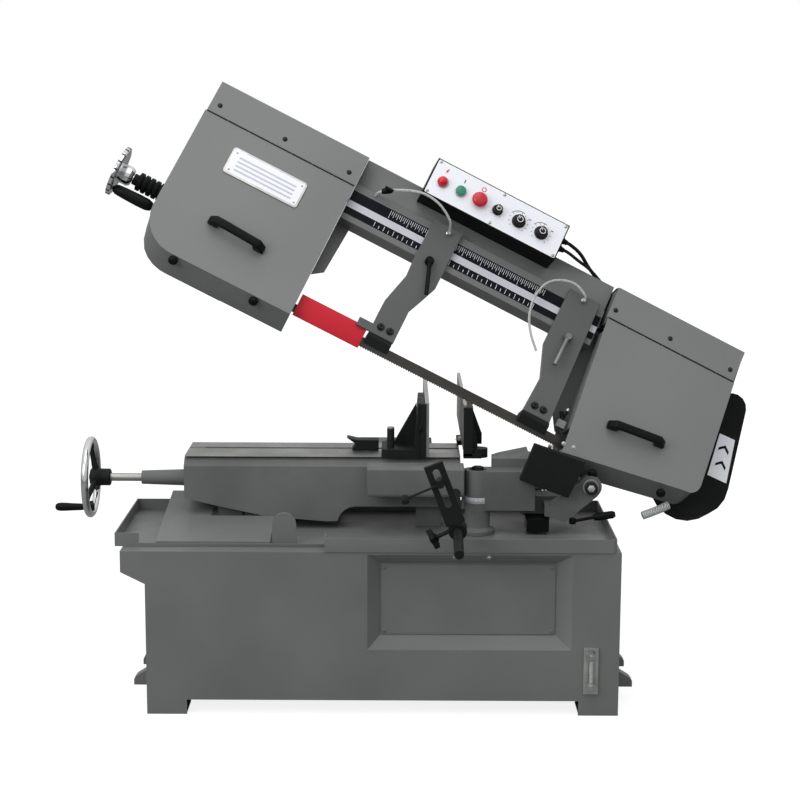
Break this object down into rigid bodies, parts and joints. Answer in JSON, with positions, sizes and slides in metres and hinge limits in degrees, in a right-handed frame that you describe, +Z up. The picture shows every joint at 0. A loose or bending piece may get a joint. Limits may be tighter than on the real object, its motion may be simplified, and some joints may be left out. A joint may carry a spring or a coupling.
{
  "type": "horizontal mitering band saw",
  "caption": "Horizontal metal-cutting band saw on a cabinet stand: canted bow on a swivelling arm, vise with handwheel, blade guides, work stop and control box.",
  "frame": {"origin": "centre of the machine's bounding box at floor level", "axes": "+X to the operator's right along the bed, +Y from the operator to the back, +Z up"},
  "size_m": [1.7094, 0.9307, 1.456],
  "materials": {
    "machine_grey": "satin paint",
    "door_grey": "satin paint",
    "casting_grey": "painted casting",
    "black_iron": "black",
    "black_plastic": "matte",
    "steel": "ground",
    "chrome": "polished",
    "blade_steel": "dark",
    "guard_red": "satin paint",
    "button_green": "gloss",
    "button_red": "gloss",
    "dial_black": "gloss",
    "gauge_clear": "gloss",
    "tube_clear": "translucent",
    "cable_black": "matte",
    "motor_grey": "satin paint"
  },
  "bodies": {
    "base": {"base_cabinet": "machine_grey", "front_access_panel": "machine_grey", "level_gauge": "gauge_clear", "coolant_tray": "machine_grey", "bed_casting": "casting_grey", "swivel_post": "casting_grey", "coolant_pump": "black_iron", "fixed_jaw": "black_iron", "fixed_jaw_plate": "steel"},
    "swivel": {"swivel_arm": "casting_grey", "outfeed_ledge": "casting_grey", "head_pivot_shaft": "steel", "stop_rod": "steel"},
    "swivel_lock": {"swivel_lock_lever": "black_plastic"},
    "length_stop": {"stop_arm": "black_iron"},
    "stop_clamp": {"stop_knob": "black_plastic"},
    "vise_jaw": {"movable_jaw": "black_iron", "movable_jaw_plate": "steel", "vise_nut": "black_iron"},
    "vise_drive": {"vise_screw": "steel", "vise_handwheel": "chrome"},
    "crank": {"crank_handle": "black_plastic"},
    "bow": {"bow_beam": "machine_grey", "left_wheel_box": "machine_grey", "right_wheel_box": "machine_grey", "left_top_guard": "door_grey", "right_top_guard": "door_grey", "saw_blade": "blade_steel", "blade_shield": "black_iron", "gear_case": "motor_grey", "motor": "motor_grey", "belt_guard": "black_iron", "control_box": "black_plastic", "control_cable": "cable_black"},
    "left_door_body": {"left_door": "door_grey", "left_door_handle": "black_plastic"},
    "right_door_body": {"right_door": "door_grey", "right_door_handle": "black_plastic"},
    "idler": {"idler_wheel": "casting_grey"},
    "drive": {"drive_wheel": "casting_grey"},
    "gear_input": {"gear_pulley": "steel"},
    "motor_output": {"motor_pulley": "steel"},
    "tension_slide": {"tension_carriage": "casting_grey"},
    "tension_screw": {"tension_handwheel": "chrome"},
    "left_guide": {"left_guide_arm": "machine_grey", "left_guide_block": "black_iron", "blade_guard": "guard_red", "left_coolant_tube": "tube_clear"},
    "left_clamp": {"left_arm_lever": "black_plastic"},
    "right_guide": {"right_guide_arm": "machine_grey", "right_guide_block": "black_iron", "right_coolant_tube": "tube_clear"},
    "right_clamp": {"right_arm_lever": "steel"},
    "start": {"start_button": "button_green"},
    "stop": {"stop_button": "button_red"},
    "mode": {"mode_selector": "dial_black"},
    "speed": {"speed_dial": "dial_black"},
    "feed": {"feed_dial": "dial_black"},
    "cylinder": {"feed_cylinder": "steel"},
    "piston": {"feed_rod": "chrome"}
  },
  "joints": [
    {"name": "swivel_turn", "type": "hinge", "parent": "base", "child": "swivel", "pos_m": [0.1806, -0.0746, 0.448], "axis": [0, 0, 1], "range_deg": [0, 45]},
    {"name": "bow_pivot", "type": "hinge", "parent": "swivel", "child": "bow", "pos_m": [0.4466, -0.0546, 0.512], "axis": [0, 1, 0], "range_deg": [-27, 18]},
    {"name": "swivel_lock_turn", "type": "hinge", "parent": "swivel", "child": "swivel_lock", "pos_m": [0.4066, -0.0926, 0.434], "axis": [0, 0, 1], "range_deg": [-20, 20]},
    {"name": "stop_slide", "type": "slide", "parent": "swivel", "child": "length_stop", "axis": [-0.0057, -0.9846, -0.1746], "range_m": [-0.1, 0.08]},
    {"name": "stop_clamp_turn", "type": "hinge", "parent": "length_stop", "child": "stop_clamp", "pos_m": [0.0806, -0.3283, 0.446], "axis": [-0.867, 0, -0.4983], "range_deg": [-180, 180]},
    {"name": "vise_travel", "type": "slide", "parent": "base", "child": "vise_jaw", "axis": [-1, 0, 0], "range_m": [-0.07, 0.31]},
    {"name": "vise_screw_turn", "type": "hinge", "parent": "base", "child": "vise_drive", "pos_m": [-0.5234, 0.0754, 0.493], "axis": [-1, 0, 0], "range_deg": [-2525, 11165]},
    {"name": "crank_spin", "type": "hinge", "parent": "vise_drive", "child": "crank", "pos_m": [-0.7837, 0.0754, 0.417], "axis": [-1, 0, 0], "continuous": true},
    {"name": "left_door_hinge", "type": "hinge", "parent": "bow", "child": "left_door_body", "pos_m": [-0.29309, 0.0637, 1.29931], "axis": [-0.891, 0, 0.454], "range_deg": [0, 110]},
    {"name": "right_door_hinge", "type": "hinge", "parent": "bow", "child": "right_door_body", "pos_m": [0.65717, 0.0637, 0.81513], "axis": [-0.891, 0, 0.454], "range_deg": [0, 110]},
    {"name": "drive_spin", "type": "hinge", "parent": "bow", "child": "drive", "pos_m": [0.5784, 0.02268, 0.65614], "axis": [-0.2061, 0.891, -0.4045], "continuous": true},
    {"name": "idler_spin", "type": "hinge", "parent": "tension_slide", "child": "idler", "pos_m": [-0.39903, 0.02268, 1.15417], "axis": [-0.2061, 0.891, -0.4045], "continuous": true},
    {"name": "gear_input_spin", "type": "hinge", "parent": "bow", "child": "gear_input", "pos_m": [0.70495, 0.04604, 0.49479], "axis": [-0.2061, 0.891, -0.4045], "continuous": true},
    {"name": "motor_output_spin", "type": "hinge", "parent": "bow", "child": "motor_output", "pos_m": [0.81451, 0.14501, 0.65696], "axis": [-0.2061, 0.891, -0.4045], "continuous": true},
    {"name": "tension_travel", "type": "slide", "parent": "bow", "child": "tension_slide", "axis": [0.891, 0, -0.454], "range_m": [0, 0.01]},
    {"name": "tension_screw_turn", "type": "hinge", "parent": "bow", "child": "tension_screw", "pos_m": [-0.69609, 0.09505, 1.24739], "axis": [0.891, 0, -0.454], "range_deg": [-5, 1805]},
    {"name": "left_guide_travel", "type": "slide", "parent": "bow", "child": "left_guide", "axis": [0.891, 0, -0.454], "range_m": [-0.045, 0.2]},
    {"name": "left_clamp_turn", "type": "hinge", "parent": "left_guide", "child": "left_clamp", "pos_m": [0.06238, 0.03762, 1.03107], "axis": [-0.2061, 0.891, -0.4045], "range_deg": [-30, 30]},
    {"name": "right_guide_travel", "type": "slide", "parent": "bow", "child": "right_guide", "axis": [0.891, 0, -0.454], "range_m": [-0.01, 0.02]},
    {"name": "right_clamp_turn", "type": "hinge", "parent": "right_guide", "child": "right_clamp", "pos_m": [0.3961, 0.03217, 0.84903], "axis": [-0.2061, 0.891, -0.4045], "range_deg": [-30, 30]},
    {"name": "start_press", "type": "slide", "parent": "bow", "child": "start", "axis": [-0.2061, 0.891, -0.4045], "range_m": [0, 0.004], "stiffness_N_per_m": 600},
    {"name": "stop_press", "type": "slide", "parent": "bow", "child": "stop", "axis": [-0.2061, 0.891, -0.4045], "range_m": [0, 0.005], "stiffness_N_per_m": 600},
    {"name": "mode_turn", "type": "hinge", "parent": "bow", "child": "mode", "pos_m": [0.22702, 0.08551, 1.15156], "axis": [-0.2061, 0.891, -0.4045], "range_deg": [-45, 45]},
    {"name": "speed_turn", "type": "hinge", "parent": "bow", "child": "speed", "pos_m": [0.2787, 0.08551, 1.12523], "axis": [-0.2061, 0.891, -0.4045], "range_deg": [-135, 135]},
    {"name": "feed_turn", "type": "hinge", "parent": "bow", "child": "feed", "pos_m": [0.33305, 0.08551, 1.09754], "axis": [-0.2061, 0.891, -0.4045], "range_deg": [-135, 135]},
    {"name": "cylinder_swing", "type": "hinge", "parent": "swivel", "child": "cylinder", "pos_m": [0.3316, 0.0674, 0.461], "axis": [0, 1, 0], "range_deg": [-20, 16]},
    {"name": "piston_travel", "type": "slide", "parent": "cylinder", "child": "piston", "axis": [0.381, 0, 0.9246], "range_m": [-0.05, 0.04]}
  ],
  "couplings": [
    {"joint": "vise_screw_turn", "follows": "vise_travel", "rad_per_m": 628.32},
    {"joint": "idler_spin", "follows": "drive_spin", "ratio": 1},
    {"joint": "gear_input_spin", "follows": "drive_spin", "ratio": 30},
    {"joint": "motor_output_spin", "follows": "drive_spin", "ratio": 77.5},
    {"joint": "tension_screw_turn", "follows": "tension_travel", "rad_per_m": 3141.6},
    {"joint": "cylinder_swing", "follows": "bow_pivot", "ratio": 0.5433},
    {"joint": "piston_travel", "follows": "bow_pivot", "m_per_rad": 0.0919}
  ]
}
